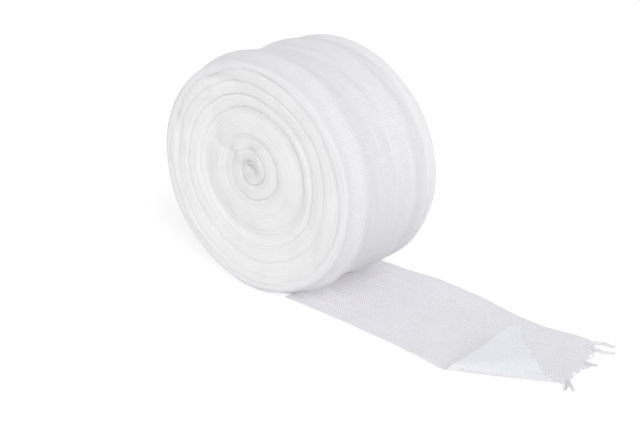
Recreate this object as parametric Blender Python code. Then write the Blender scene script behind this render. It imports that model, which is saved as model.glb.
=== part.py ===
"""Gauze bandage roll lying on its side, with a loose end whose cut corner is turned over.

Frame: metres, +Z up. The origin is on the surface that the roll rests on, under the
middle of the roll. Y is the roll's own axis, and the end with the wide smooth layer faces -Y.
+X points along the loose end, away from the roll.
"""
import math

import bmesh
import bpy
import numpy as np

MM = 0.001
MERGE_DISTANCE = 0.000002

# Driving dimensions, in millimetres
CLOTH_WIDTH = 50.0
ROLL_HALF_LENGTH = 48.2
ROLL_HALF_HEIGHT = 44.2
ROLL_COLUMNS = 56
FLAT_DEPTH = 1.15
SETTLE_HEIGHT = 3.5
SHEET_THICKNESS = 1.0
PIECE_GAP = 0.31

# The winding: the groove between two thick turns runs as one spiral on both ends
SPIRAL_START = 0.03
SPIRAL_PITCH = 0.12
CORE_SHARE = 0.06
RIM_SHARE = 0.93
CORE_RISE = 3.5
# The core's hollow narrows a little above its floor
HOLLOW_FLOOR_SHARE = 0.9
HOLLOW_ROUNDING = 1.5
# A row of points nearer than this share of the pitch to the core or rim joins that circle
JOIN_SHARE = 0.1
# Where each turn is drawn: share of the pitch, share of the groove's depth
TURN_SECTION = (
    (0.00, 1.00),
    (0.15, 0.32),
    (0.50, 0.00),
    (0.85, 0.32),
)
# End that faces -Y, level but for a shallow dip outside its wide smooth layer: share of the radius,
# distance out from the roll's middle plane, groove depth
NEAR_END = (
    (0.00, 21.0, 0.0),
    (0.06, 24.0, 0.0),
    (0.12, 25.0, 2.2),
    (0.22, 24.9, 2.2),
    (0.30, 24.7, 1.6),
    (0.38, 24.7, 0.4),
    (0.44, 24.0, 0.4),
    (0.52, 23.4, 1.6),
    (0.60, 24.3, 1.8),
    (0.72, 24.8, 1.5),
    (0.84, 25.0, 1.2),
    (0.93, 24.4, 0.0),
)
# End that faces +Y, which is flatter: the same columns
FAR_END = (
    (0.00, 20.0, 0.0),
    (0.06, 22.6, 0.0),
    (0.12, 23.4, 2.0),
    (0.22, 23.6, 2.0),
    (0.36, 22.4, 1.0),
    (0.52, 23.2, 1.2),
    (0.72, 24.6, 1.2),
    (0.84, 24.8, 1.0),
    (0.93, 24.2, 0.0),
)
# The barrel's bands run slightly askew: most drift, and the angle where it starts
BAND_DRIFT = 1.2
BAND_START_ANGLE = 0.6
BARREL_HALF_WIDTH = 24.0
# Barrel from end to end: place along the axis, share of the full radius
BARREL = (
    (-23.6, 0.960),
    (-22.0, 0.984),
    (-19.6, 1.000),
    (-16.6, 0.990),
    (-12.0, 1.001),
    (-7.6, 0.995),
    (-3.0, 0.988),
    (2.4, 0.994),
    (7.8, 1.001),
    (11.0, 0.995),
    (14.4, 0.989),
    (18.4, 1.000),
    (21.0, 0.988),
    (23.2, 0.962),
)

# The loose end as it lies: place along X, place of its middle in Y
LOOSE_MIDDLE = (
    (0.0, 4.2),
    (30.0, 4.0),
    (45.0, 3.4),
    (61.0, 2.4),
    (78.0, 0.6),
    (91.0, -1.2),
    (105.0, -1.8),
    (135.0, -2.0),
)
# Where it lifts off the surface: place along X, place across from the near edge, height, reach
LIFTS = (
    (46.0, 50.0, 1.3, 13.0),
    (66.0, 50.0, 0.7, 9.0),
    (72.0, 20.0, 0.5, 12.0),
    (113.0, 50.0, 1.5, 10.0),
)
LIFT_STRETCH = 1.6
LIFT_FALL = 2.0
LOOSE_START = 14.6
CUT_NEAR = 124.8
CUT_FAR = 118.5
CUT_SWELL = 2.0

# The turned-over corner
FOLD_START = 91.7
FOLD_ANGLE = math.radians(32.0)
BEND_RADIUS = 1.1
BEND_GROWTH = 0.125
BEND_TURN = math.radians(156.5)
FOLD_LIFT = 2.0
FOLD_LIFT_REACH = 12.0
FOLD_LENGTH = 38.0
# How far the loosened corner spreads sideways and draws back, for each length of run
CORNER_SPREAD = 7.4
CORNER_PULL = -3.0
CORNER_RUN = 30.0

# Steps of the loose end's grid
PLAIN_STEPS = 16
CORNER_STEPS = 20
FLAP_STEPS = 6
BEND_STEPS = 6
LYING_STEPS = 9
# Where the finer steps start ahead of the fold, how many places each line is looked up in,
# and the step that a slope is measured over
FINE_AHEAD = 2.0
PROBES = 401
SLOPE_STEP = 0.05

# The fray at the cut end
BACKING_DEPTH = 1.2
STRAND_PITCH = 1.25
STRAND_SHARE = 0.42
STRAND_RINGS = 3
STRAND_TIP_WIDTH = 0.45
STRAND_TIP_HEIGHT = 0.35
# A thread settles on the surface where the cloth's normal is at least this steep
LYING_SLOPE = 0.9
# How uneven the loose threads' lengths are: two waves from thread to thread
UNEVEN_WAVES = ((0.35, 2.4, 0.0), (0.2, 5.3, 1.0))
# Length of the loose threads: place across from the near edge, length, sideways drift
FRAY = (
    (0.0, 1.2, 0.3),
    (7.0, 0.9, 0.1),
    (14.0, 1.0, -0.2),
    (18.0, 4.0, -2.6),
    (20.0, 6.0, -4.6),
    (22.0, 4.0, -1.6),
    (25.0, 2.0, 0.0),
    (31.0, 3.6, 0.4),
    (36.0, 1.3, -0.3),
    (43.0, 1.2, 0.3),
    (44.0, 2.6, 0.8),
    (46.0, 5.4, 2.2),
    (50.0, 4.6, 1.4),
)

CLOTH_ROUGHNESS = 0.9
THREAD_ROUGHNESS = 0.85
WHITE_COTTON = (0.86, 0.87, 0.88, 1.0)
BLEACHED_COTTON = (0.90, 0.91, 0.92, 1.0)
LOOSE_THREAD = (0.92, 0.93, 0.93, 1.0)


def clear_scene():
    """Removes every object of the scene that the script starts in."""
    for item in list(bpy.data.objects):
        bpy.data.objects.remove(item, do_unlink=True)


def smooth_step(value):
    """Eases a number from 0 to 1."""
    share = np.clip(value, 0.0, 1.0)
    return share * share * (3.0 - 2.0 * share)


def read_table(table, column, place):
    """Reads a smooth curve through one column of a table at one or more places."""
    rows = np.array(table, float)
    knots = rows[:, 0]
    values = rows[:, column]
    slopes = np.gradient(values, knots)
    place = np.clip(place, knots[0], knots[-1])
    index = np.clip(np.searchsorted(knots, place) - 1, 0, len(knots) - 2)
    step = knots[index + 1] - knots[index]
    t = (place - knots[index]) / step
    start = values[index] * (1 + 2 * t) * (1 - t) ** 2 + slopes[index] * step * t * (1 - t) ** 2
    end = values[index + 1] * (3 - 2 * t) * t ** 2 - slopes[index + 1] * step * (1 - t) * t ** 2
    return start + end


def cotton(name, colour, roughness):
    """Makes the plain finish of one piece."""
    material = bpy.data.materials.new(name)
    material.use_nodes = True
    shader = material.node_tree.nodes["Principled BSDF"]
    shader.inputs["Base Color"].default_value = colour
    shader.inputs["Roughness"].default_value = roughness
    shader.inputs["Metallic"].default_value = 0.0
    material.diffuse_color = colour
    return material


def place_object(name, grid_mesh, material):
    """Turns a finished bmesh into one smooth-shaded object."""
    bmesh.ops.recalc_face_normals(grid_mesh, faces=grid_mesh.faces)
    mesh = bpy.data.meshes.new(name)
    grid_mesh.to_mesh(mesh)
    grid_mesh.free()
    mesh.shade_smooth()
    mesh.materials.append(material)
    item = bpy.data.objects.new(name, mesh)
    bpy.context.scene.collection.objects.link(item)
    return item


def settled(height):
    """Presses the lowest few millimetres of the round roll down to its small flat spot."""
    pressed = (height - FLAT_DEPTH) * SETTLE_HEIGHT / (SETTLE_HEIGHT - FLAT_DEPTH)
    return np.where(height < SETTLE_HEIGHT, np.maximum(pressed, 0.0), height)


def roll_point(share, angle, along):
    """Gives a point of the roll from its share of the radius, its angle and its place along Y."""
    x = ROLL_HALF_LENGTH * share * math.cos(angle)
    middle = ROLL_HALF_HEIGHT + CORE_RISE * max(0.0, 1.0 - share / RIM_SHARE)
    z = middle + ROLL_HALF_HEIGHT * share * math.sin(angle)
    return (x * MM, along * MM, float(settled(z)) * MM)


def end_column(table, angle, side):
    """Gives one column of an end face, from its middle out to the rim circle."""
    points = [roll_point(0.0, angle, side * table[0][1])]
    points.append(roll_point(CORE_SHARE * HOLLOW_FLOOR_SHARE, angle, side * (table[0][1] + HOLLOW_ROUNDING)))
    points.append(roll_point(CORE_SHARE, angle, side * table[1][1]))
    turns = math.ceil((RIM_SHARE - SPIRAL_START) / SPIRAL_PITCH) + 1
    slack = JOIN_SHARE * SPIRAL_PITCH
    for turn in range(-1, turns):
        for phase, depth_share in TURN_SECTION:
            share = SPIRAL_START + SPIRAL_PITCH * (turn + phase + angle / (2 * math.pi))
            if share < CORE_SHARE + slack:
                points.append(points[2])
                continue
            if share > RIM_SHARE - slack:
                points.append(roll_point(RIM_SHARE, angle, side * table[-1][1]))
                continue
            out = read_table(table, 1, share) - depth_share * read_table(table, 2, share)
            points.append(roll_point(share, angle, side * float(out)))
    return points


def barrel_column(angle):
    """Gives one column of the barrel, from the rim near -Y to the rim near +Y."""
    points = []
    for along, share in BARREL:
        fade = 1.0 - (along / BARREL_HALF_WIDTH) ** 2
        drift = BAND_DRIFT * math.sin(angle + BAND_START_ANGLE) * fade
        points.append(roll_point(share, angle, along + drift))
    return points


def build_roll():
    """Builds the wound body: two spiral ends and a banded barrel, closed as one solid."""
    columns = []
    for step in range(ROLL_COLUMNS + 1):
        angle = 2 * math.pi * step / ROLL_COLUMNS
        near = end_column(NEAR_END, angle, -1.0)
        far = end_column(FAR_END, angle, 1.0)
        columns.append(near + barrel_column(angle) + far[::-1])
    body = bmesh.new()
    grid = [[body.verts.new(point) for point in column] for column in columns]
    for left, right in zip(grid, grid[1:]):
        for row in range(len(left) - 1):
            body.faces.new((left[row], left[row + 1], right[row + 1], right[row]))
    bmesh.ops.remove_doubles(body, verts=body.verts, dist=MERGE_DISTANCE)
    return place_object("wound_roll", body, cotton("wound_gauze", WHITE_COTTON, CLOTH_ROUGHNESS))


def cut_end(across):
    """Gives how far along X the cloth was cut at a place across it."""
    share = across / CLOTH_WIDTH
    return CUT_FAR + (CUT_NEAR - CUT_FAR) * (1.0 - share) + CUT_SWELL * np.sin(np.pi * share)


def lift(x, across, past_fold, along_fold):
    """Gives how far the lying cloth stands off the surface."""
    height = np.zeros_like(x)
    for centre, edge, rise, reach in LIFTS:
        away = ((x - centre) / (LIFT_STRETCH * reach)) ** 2 + ((across - edge) / reach) ** 2
        height = height + rise * np.exp(-LIFT_FALL * away)
    near_fold = smooth_step(1.0 + past_fold / FOLD_LIFT_REACH) * smooth_step(along_fold / FOLD_LENGTH)
    return height + FOLD_LIFT * near_fold


def spread_out(along, across):
    """Gives the cloth's place on the surface before its corner is turned over."""
    loosened = np.clip((along - FOLD_START) / CORNER_RUN, 0.0, 2.0)
    loosened = loosened * np.clip(1.0 - 2.0 * across / CLOTH_WIDTH, 0.0, 1.0)
    x = along + CORNER_PULL * loosened
    y = read_table(LOOSE_MIDDLE, 1, along) + across - CLOTH_WIDTH / 2 - CORNER_SPREAD * loosened
    return x, y


def fold_place(x, y):
    """Gives a place's distance along the fold line and its distance past it, towards the corner."""
    start_y = float(read_table(LOOSE_MIDDLE, 1, FOLD_START)) - CLOTH_WIDTH / 2
    along_fold = (x - FOLD_START) * math.cos(FOLD_ANGLE) + (y - start_y) * math.sin(FOLD_ANGLE)
    past_fold = (x - FOLD_START) * math.sin(FOLD_ANGLE) - (y - start_y) * math.cos(FOLD_ANGLE)
    return along_fold, past_fold


def bend_radius(along_fold):
    """Gives the radius of the bend, which opens towards the cut end."""
    return BEND_RADIUS + BEND_GROWTH * np.maximum(along_fold, 0.0)


def cloth_point(along, across):
    """Gives the cloth's middle surface, in millimetres, with its corner turned over."""
    along, across = np.broadcast_arrays(np.asarray(along, float), np.asarray(across, float))
    x, y = spread_out(along, across)
    along_fold, past_fold = fold_place(x, y)
    ground = SHEET_THICKNESS / 2 + lift(x, across, np.minimum(past_fold, 0.0), along_fold)
    radius = bend_radius(along_fold)
    turn = np.clip(past_fold / radius, 0.0, BEND_TURN)
    beyond = np.maximum(past_fold - radius * BEND_TURN, 0.0)
    reach = radius * np.sin(turn) + beyond * math.cos(BEND_TURN)
    rise = radius * (1 - np.cos(turn)) + beyond * math.sin(BEND_TURN)
    folded = past_fold > 0
    moved = np.where(folded, reach - past_fold, 0.0)
    x = x + moved * math.sin(FOLD_ANGLE)
    y = y - moved * math.cos(FOLD_ANGLE)
    return np.stack([x, y, ground + np.where(folded, rise, 0.0)], -1)


def cloth_normal(along, across):
    """Gives the unit normal of the cloth's middle surface, up where it lies flat."""
    run = cloth_point(along + SLOPE_STEP, across) - cloth_point(along - SLOPE_STEP, across)
    side = cloth_point(along, across + SLOPE_STEP) - cloth_point(along, across - SLOPE_STEP)
    normal = np.cross(run, side)
    return normal / np.linalg.norm(normal, axis=-1, keepdims=True)


def station(along_share, corner):
    """Gives one line of the loose end's grid: places along, and places across from the near edge."""
    fine_from = FOLD_START - FINE_AHEAD
    probe = np.linspace(0.0, CLOTH_WIDTH, PROBES)
    if corner:
        along = fine_from + (cut_end(probe) - fine_from) * along_share
    else:
        along = np.full_like(probe, LOOSE_START + (fine_from - LOOSE_START) * along_share)
    along_fold, past_fold = fold_place(*spread_out(along, probe))
    bend = bend_radius(along_fold) * BEND_TURN
    fold_at = np.interp(0.0, -past_fold, probe) if past_fold[0] > 0 else 0.0
    bend_end = np.interp(0.0, bend - past_fold, probe) if past_fold[0] > bend[0] else 0.0
    flap = np.linspace(0.0, 1.0, FLAP_STEPS + 1) * bend_end
    turned = bend_end + (fold_at - bend_end) * np.linspace(0.0, 1.0, BEND_STEPS + 1)
    lying = fold_at + (CLOTH_WIDTH - fold_at) * np.linspace(0.0, 1.0, LYING_STEPS + 1)
    across = np.concatenate([flap, turned[1:], lying[1:]])
    return np.interp(across, probe, along), across


def build_loose_end():
    """Builds the loose end as one sheet, from under the roll to its cut end."""
    lines = [station(step / PLAIN_STEPS, False) for step in range(PLAIN_STEPS)]
    lines += [station(step / CORNER_STEPS, True) for step in range(CORNER_STEPS + 1)]
    sheet = bmesh.new()
    grid = [[sheet.verts.new(point * MM) for point in cloth_point(*line)] for line in lines]
    for left, right in zip(grid, grid[1:]):
        for row in range(len(left) - 1):
            sheet.faces.new((left[row], right[row], right[row + 1], left[row + 1]))
    bmesh.ops.remove_doubles(sheet, verts=sheet.verts, dist=MERGE_DISTANCE)
    item = place_object("loose_end", sheet, cotton("loose_gauze", BLEACHED_COTTON, CLOTH_ROUGHNESS))
    wall = item.modifiers.new("thickness", "SOLIDIFY")
    wall.thickness = SHEET_THICKNESS * MM
    wall.offset = 0.0
    wall.use_even_offset = True
    return item


def strand_cells():
    """Gives the cells of the backing across the cloth: from, to, whether a thread leaves it."""
    cells = []
    count = round(CLOTH_WIDTH / STRAND_PITCH)
    for index in range(count):
        start = index * CLOTH_WIDTH / count
        end = (index + 1) * CLOTH_WIDTH / count
        middle = start + STRAND_SHARE * (end - start)
        cells.append((start, middle, True))
        if index < count - 1:
            cells.append((middle, end, False))
    return cells


def fray_length(across, index):
    """Gives the length of one loose thread, uneven from thread to thread."""
    uneven = 1.0 + sum(size * math.sin(rate * index + start) for size, rate, start in UNEVEN_WAVES)
    return float(read_table(FRAY, 1, across)) * uneven


def fray_ring(cell, share, length, drift):
    """Gives the four corners of a loose thread at a share of its length."""
    across = (cell[0] + cell[1]) / 2
    cut = float(cut_end(across))
    root = cloth_point(cut + PIECE_GAP + BACKING_DEPTH, across)
    forward = root - cloth_point(cut, across)
    forward = forward / np.linalg.norm(forward)
    up = cloth_normal(cut + PIECE_GAP + BACKING_DEPTH, across)
    sideways = np.cross(up, forward)
    middle = root + forward * length * share + sideways * drift * share - up * SHEET_THICKNESS / 2
    if up[2] > LYING_SLOPE:
        middle[2] *= 1.0 - smooth_step(share)
    half = (cell[1] - cell[0]) / 2 * (1 - (1 - STRAND_TIP_WIDTH) * share)
    height = SHEET_THICKNESS * (1 - (1 - STRAND_TIP_HEIGHT) * share)
    near = middle - sideways * half
    far = middle + sideways * half
    return [corner * MM for corner in (near, far, far + up * height, near + up * height)]


def build_fray():
    """Builds the fray: a narrow backing along the cut end, with the loose threads that leave it."""
    fray = bmesh.new()
    cells = strand_cells()
    edges = [cells[0][0]] + [cell[1] for cell in cells]
    rails = []
    for across in edges:
        rail = []
        for depth, level in ((0.0, -0.5), (0.0, 0.5), (BACKING_DEPTH, 0.5), (BACKING_DEPTH, -0.5)):
            along = float(cut_end(across)) + PIECE_GAP + depth
            point = cloth_point(along, across) + cloth_normal(along, across) * level * SHEET_THICKNESS
            rail.append(fray.verts.new(point * MM))
        rails.append(rail)
    for index, (left, right) in enumerate(zip(rails, rails[1:])):
        for side in range(4):
            if side == 2 and cells[index][2]:
                continue
            fray.faces.new((left[side], left[(side + 1) % 4], right[(side + 1) % 4], right[side]))
    fray.faces.new(rails[0])
    fray.faces.new(rails[-1])
    for index, cell in enumerate(cells):
        if not cell[2]:
            continue
        centre = (cell[0] + cell[1]) / 2
        length = fray_length(centre, index)
        drift = float(read_table(FRAY, 2, centre))
        ring = [rails[index][3], rails[index + 1][3], rails[index + 1][2], rails[index][2]]
        for step in range(1, STRAND_RINGS + 1):
            corners = fray_ring(cell, step / STRAND_RINGS, length, drift)
            following = [fray.verts.new(corner) for corner in corners]
            for side in range(4):
                other = (side + 1) % 4
                fray.faces.new((ring[side], ring[other], following[other], following[side]))
            ring = following
        fray.faces.new(ring)
    return place_object("frayed_end", fray, cotton("frayed_thread", LOOSE_THREAD, THREAD_ROUGHNESS))


def main():
    """Builds every piece of the bandage."""
    clear_scene()
    build_roll()
    build_loose_end()
    build_fray()


main()
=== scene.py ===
"""Looks of the gauze bandage roll: fine turns, woven threads, folds, fray, finish, light and camera.

Every length named in millimetres is turned to metres by MM where a mesh is made.
"""
import logging
import math
from dataclasses import dataclass
from enum import Enum

import bmesh
import bpy
import numpy as np
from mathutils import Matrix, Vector


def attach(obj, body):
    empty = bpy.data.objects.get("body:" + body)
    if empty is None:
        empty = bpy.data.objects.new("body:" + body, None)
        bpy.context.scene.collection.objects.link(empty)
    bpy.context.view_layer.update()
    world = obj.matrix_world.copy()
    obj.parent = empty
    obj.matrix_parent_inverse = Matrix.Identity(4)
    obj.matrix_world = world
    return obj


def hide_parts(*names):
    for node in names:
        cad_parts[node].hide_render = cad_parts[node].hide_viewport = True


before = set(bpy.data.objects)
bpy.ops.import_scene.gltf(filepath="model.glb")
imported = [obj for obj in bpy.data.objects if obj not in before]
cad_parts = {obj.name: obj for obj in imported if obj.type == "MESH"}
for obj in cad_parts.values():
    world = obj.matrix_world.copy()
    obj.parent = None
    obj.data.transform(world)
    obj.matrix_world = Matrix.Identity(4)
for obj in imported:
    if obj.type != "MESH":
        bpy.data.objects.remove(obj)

LOG = logging.getLogger("bandage")
MM = 0.001
TURN = 2.0 * math.pi
BODY = "root"
# Points of the wound body that are closer than this are one point, in metres
MERGE_DISTANCE = 0.0000015
# Keeps a place that is exactly on a turn of the spiral on one side of it
NUDGE = 0.000001
# One unit of the wound body's flat map, in millimetres
MAP_UNIT = 100.0

Table = tuple[tuple[float, ...], ...]
Triple = tuple[float, float, float]
# Middle in two directions, and reach in the same two
Spot = tuple[float, float, float, float]


class Lay(Enum):
    """How threads are placed: pressed onto a surface by its flat map, or as they stand."""

    ON_CLOTH = "on cloth"
    FREE = "free"


def smooth_step(value: np.ndarray) -> np.ndarray:
    """Eases numbers from 0 to 1."""
    share = np.clip(value, 0.0, 1.0)
    return share * share * (3.0 - 2.0 * share)


def signs(count: int) -> np.ndarray:
    """Gives 1 and -1 by turns."""
    return np.where(np.arange(count) % 2 == 0, 1.0, -1.0)


def spot_share(a: np.ndarray | float, b: np.ndarray, spot: Spot, fall: float = 1.0) -> np.ndarray:
    """Gives how strongly a soft round spot is felt.

    Args:
        a: Places in the spot's first direction.
        b: Places in its second direction.
        spot: Its middle and its reach.
        fall: How steeply it fades.

    Returns:
        1 in the middle of the spot, fading to 0 outside it.
    """
    middle_a, middle_b, reach_a, reach_b = spot
    return np.exp(-fall * (((a - middle_a) / reach_a) ** 2 + ((b - middle_b) / reach_b) ** 2))


def read_table(table: Table, column: int, place: np.ndarray | float) -> np.ndarray:
    """Reads a smooth curve through one column of a table.

    Args:
        table: Rows whose first column rises.
        column: The column to read.
        place: Where to read it, in the first column's terms.

    Returns:
        The curve's value at each place.
    """
    rows = np.array(table, float)
    knots, values = rows[:, 0], rows[:, column]
    slopes = np.gradient(values, knots)
    place = np.clip(place, knots[0], knots[-1])
    index = np.clip(np.searchsorted(knots, place) - 1, 0, len(knots) - 2)
    step = knots[index + 1] - knots[index]
    t = (place - knots[index]) / step
    start = values[index] * (1 + 2 * t) * (1 - t) ** 2 + slopes[index] * step * t * (1 - t) ** 2
    end = values[index + 1] * (3 - 2 * t) * t**2 - slopes[index + 1] * step * (1 - t) * t**2
    return start + end


@dataclass(frozen=True)
class Ripple:
    """A soft uneven field over a flat place, made of a few crossed waves."""

    length: float
    height: float
    seed: int
    waves: int = 7
    stretch: float = 1.0
    # Shortest and longest wave, as a share of the length
    variety: tuple[float, float] = (0.7, 1.5)

    def at(self, a: np.ndarray, b: np.ndarray) -> np.ndarray:
        """Gives the field's value.

        Args:
            a: Places along the first direction, which stretch lengthens the waves in.
            b: Places along the second direction.

        Returns:
            Values that mostly stay between plus and minus the height.
        """
        rng = np.random.default_rng(self.seed)
        total = np.zeros(np.broadcast(a, b).shape)
        for _ in range(self.waves):
            heading, start = rng.uniform(0.0, TURN, 2)
            rate = TURN / (self.length * rng.uniform(*self.variety))
            across = a * math.cos(heading) / self.stretch + b * math.sin(heading)
            total = total + np.sin(across * rate + start)
        return total * self.height / math.sqrt(self.waves)


class Shade:
    """A socket of a node tree that can stand in a sum."""

    def __init__(self, tree: bpy.types.NodeTree, socket: bpy.types.NodeSocket) -> None:
        """Keeps the tree and its socket."""
        self.tree = tree
        self.socket = socket

    def _math(self, operation: str, first: "Shade | float", second: "Shade | float") -> "Shade":
        """Adds one Math node.

        Args:
            operation: The node's operation.
            first: The first value.
            second: The second value.

        Returns:
            The node's result.
        """
        node = self.tree.nodes.new("ShaderNodeMath")
        node.operation = operation
        for socket, value in zip(node.inputs, (first, second)):
            if isinstance(value, Shade):
                self.tree.links.new(value.socket, socket)
            else:
                socket.default_value = value
        return Shade(self.tree, node.outputs[0])

    def __add__(self, other: "Shade | float") -> "Shade":
        """Adds."""
        return self._math("ADD", self, other)

    def __radd__(self, other: float) -> "Shade":
        """Adds, from the right."""
        return self._math("ADD", other, self)

    def __sub__(self, other: "Shade | float") -> "Shade":
        """Takes away."""
        return self._math("SUBTRACT", self, other)

    def __rsub__(self, other: float) -> "Shade":
        """Takes away, from the right."""
        return self._math("SUBTRACT", other, self)

    def __mul__(self, other: "Shade | float") -> "Shade":
        """Multiplies."""
        return self._math("MULTIPLY", self, other)

    def __rmul__(self, other: float) -> "Shade":
        """Multiplies, from the right."""
        return self._math("MULTIPLY", other, self)

    def sine(self) -> "Shade":
        """Gives the sine."""
        return self._math("SINE", self, 0.0)


class Nodes:
    """Makes the nodes of one tree."""

    def __init__(self, tree: bpy.types.NodeTree) -> None:
        """Keeps the tree and empties it."""
        self.tree = tree
        tree.nodes.clear()

    @staticmethod
    def socket(sockets: bpy.types.bpy_prop_collection, key: str) -> bpy.types.NodeSocket:
        """Finds an enabled socket by its identifier, or else by its name.

        Args:
            sockets: The node's inputs or outputs.
            key: The identifier or name.

        Returns:
            The socket.
        """
        for wanted in ("identifier", "name"):
            for socket in sockets:
                if socket.enabled and getattr(socket, wanted) == key:
                    return socket
        raise KeyError(key)

    def add(self, kind: str, settings: dict | None = None, inputs: dict | None = None) -> bpy.types.Node:
        """Makes a node.

        Args:
            kind: The node's type.
            settings: Its settings, set first.
            inputs: The value or link of each socket that is set.

        Returns:
            The new node.
        """
        node = self.tree.nodes.new(kind)
        for name, value in (settings or {}).items():
            setattr(node, name, value)
        for name, value in (inputs or {}).items():
            target = self.socket(node.inputs, name)
            if isinstance(value, Shade):
                self.tree.links.new(value.socket, target)
            else:
                target.default_value = value
        return node

    def read(self, node: bpy.types.Node, key: str) -> Shade:
        """Gives a node's output so that it can be linked or reckoned with."""
        return Shade(self.tree, self.socket(node.outputs, key))

    def get(self, kind: str, key: str, settings: dict | None = None, inputs: dict | None = None) -> Shade:
        """Makes a node and gives the output that the key names."""
        return self.read(self.add(kind, settings, inputs), key)

    def noise(self, place: Shade, size: float, detail: float = 2.0, rough: float = 0.5) -> Shade:
        """Gives a noise of a feature size, in millimetres, from 0 to 1."""
        inputs = {"Vector": place, "Scale": 1.0 / (size * MM), "Detail": detail, "Roughness": rough}
        return self.get("ShaderNodeTexNoise", "Fac", None, inputs)

    def axis(self, place: Shade, name: str) -> Shade:
        """Gives one coordinate of a place."""
        return self.get("ShaderNodeSeparateXYZ", name, None, {"Vector": place})

    def vector(self, operation: str, first: Shade, second: Shade | Triple) -> Shade:
        """Reckons with two vectors, or scales one by a number.

        Args:
            operation: The node's operation.
            first: The first vector.
            second: The second vector, or the number.

        Returns:
            The node's result.
        """
        key = "Scale" if operation == "SCALE" else "Vector_001"
        inputs = {"Vector": first, key: second}
        return self.get("ShaderNodeVectorMath", "Vector", {"operation": operation}, inputs)

    def attribute(self, name: str, kind: str) -> Shade:
        """Reads a named attribute."""
        return self.get("GeometryNodeInputNamedAttribute", "Attribute", {"data_type": kind}, {"Name": name})

    def blend(self, share: Shade, first: Shade | Triple, second: Triple) -> Shade:
        """Blends two colours.

        Args:
            share: How much of the second is seen, held between 0 and 1.
            first: The first colour.
            second: The second colour.

        Returns:
            The blended colour.
        """
        start = first if isinstance(first, Shade) else (*first, 1.0)
        inputs = {"Factor_Float": share, "A_Color": start, "B_Color": (*second, 1.0)}
        settings = {"data_type": "RGBA", "clamp_factor": True}
        return self.get("ShaderNodeMix", "Result_Color", settings, inputs)

    def surface(self, inputs: dict) -> None:
        """Ends a material with the surface that the inputs describe."""
        surface = self.get("ShaderNodeBsdfPrincipled", "BSDF", None, inputs)
        self.add("ShaderNodeOutputMaterial", None, {"Surface": surface})


def new_material(name: str) -> tuple[bpy.types.Material, Nodes, Shade]:
    """Starts a material.

    Args:
        name: Its name.

    Returns:
        The material, its node maker and the place on the piece.
    """
    material = bpy.data.materials.new(name)
    material.use_nodes = True
    nodes = Nodes(material.node_tree)
    return material, nodes, nodes.get("ShaderNodeTexCoord", "Object")


@dataclass(frozen=True)
class CottonFinish:
    """Bleached cotton: two close whites in soft patches, a fibre nap, on wound cloth its weave, and where
    set a painted shade on cloth that stands clear of the surface.
    """

    name: str
    light: Triple
    shaded: Triple
    patch_size: float = 9.0
    # Patch value where the second white starts, its contrast, and the contrast of the nap
    patch_start: float = 0.35
    patch_contrast: float = 1.6
    fibre_contrast: float = 0.5
    fibre_size: float = 0.35
    fibre_depth: float = 0.05
    fibre_rough: float = 0.65
    weave_pitch: float = 0.0
    weave_depth: float = 0.0
    # How far the weave's rows wander, and the feature sizes of that and of its strength, in map units
    weave_wander: float = 3.0
    wander_size: float = 0.06
    strength_size: float = 0.11
    roughness: float = 0.88
    rough_change: float = 0.1
    sheen: float = 0.35
    sheen_rough: float = 0.6
    specular: float = 0.25
    translucence: float = 0.0
    scatter: float = 0.004
    # Colour under the outermost turn, on wound cloth, and where on the map it starts and ends
    barrel: Triple | None = None
    barrel_span: tuple[float, float] = (0.768, 1.194)
    # Painted shade: darker colour for a single layer that stands clear of the surface, for the shadow
    # showing through it, and the height in metres where it starts
    painted_raised_shade: Triple | None = None
    painted_shade_from: float = 0.0022
    tint_rate: float = 350.0

    def build(self) -> bpy.types.Material:
        """Makes the material.

        Returns:
            The finished material.
        """
        material, nodes, place = new_material(self.name)
        patch = nodes.noise(place, self.patch_size, 3.0)
        fibre = nodes.noise(place, self.fibre_size, 3.0, self.fibre_rough)
        patches = (patch - self.patch_start) * self.patch_contrast
        share = patches + (fibre - 0.5) * self.fibre_contrast
        colour = nodes.blend(share, self.light, self.shaded)
        if self.barrel:
            colour = nodes.blend(self.outermost(nodes), colour, self.barrel)
        # Painted shade: cloth higher than the start height is blended towards a darker colour
        if self.painted_raised_shade:
            painted_shade_share = (nodes.axis(place, "Z") - self.painted_shade_from) * self.tint_rate
            colour = nodes.blend(painted_shade_share, colour, self.painted_raised_shade)
        height = fibre * self.fibre_depth
        if self.weave_depth:
            height = height + self.weave(nodes) * self.weave_depth
        bump = {"Strength": 1.0, "Distance": MM, "Height": height}
        nodes.surface(
            {
                "Base Color": colour,
                "Roughness": self.roughness + (patch - 0.5) * self.rough_change,
                "Normal": nodes.get("ShaderNodeBump", "Normal", None, bump),
                "Sheen Weight": self.sheen,
                "Sheen Roughness": self.sheen_rough,
                "Specular IOR Level": self.specular,
                "Subsurface Weight": self.translucence,
                "Subsurface Radius": (1.0, 1.0, 1.0),
                "Subsurface Scale": self.scatter,
            }
        )
        return material

    def outermost(self, nodes: Nodes) -> Shade:
        """Gives 1 under the outermost turn's part of the map and 0 or less beside it.

        Args:
            nodes: The material's nodes.

        Returns:
            The share of the barrel's tint.
        """
        place = nodes.axis(nodes.get("ShaderNodeUVMap", "UV", {"uv_map": "flat"}), "Y")
        first, last = self.barrel_span
        return (place - first) * (last - place) * self.tint_rate

    def weave(self, nodes: Nodes) -> Shade:
        """Gives the height of the crossed threads from the piece's own map.

        Args:
            nodes: The material's nodes.

        Returns:
            The height, between plus and minus 1.
        """
        flat = nodes.get("ShaderNodeUVMap", "UV", {"uv_map": "flat"})
        rate = TURN * MAP_UNIT / self.weave_pitch
        wander = nodes.noise(flat, self.wander_size / MM, 1.0) * self.weave_wander
        around = (nodes.axis(flat, "X") * rate + wander).sine()
        across = (nodes.axis(flat, "Y") * rate + wander).sine()
        return around * across * nodes.noise(flat, self.strength_size / MM, 2.0)


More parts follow.
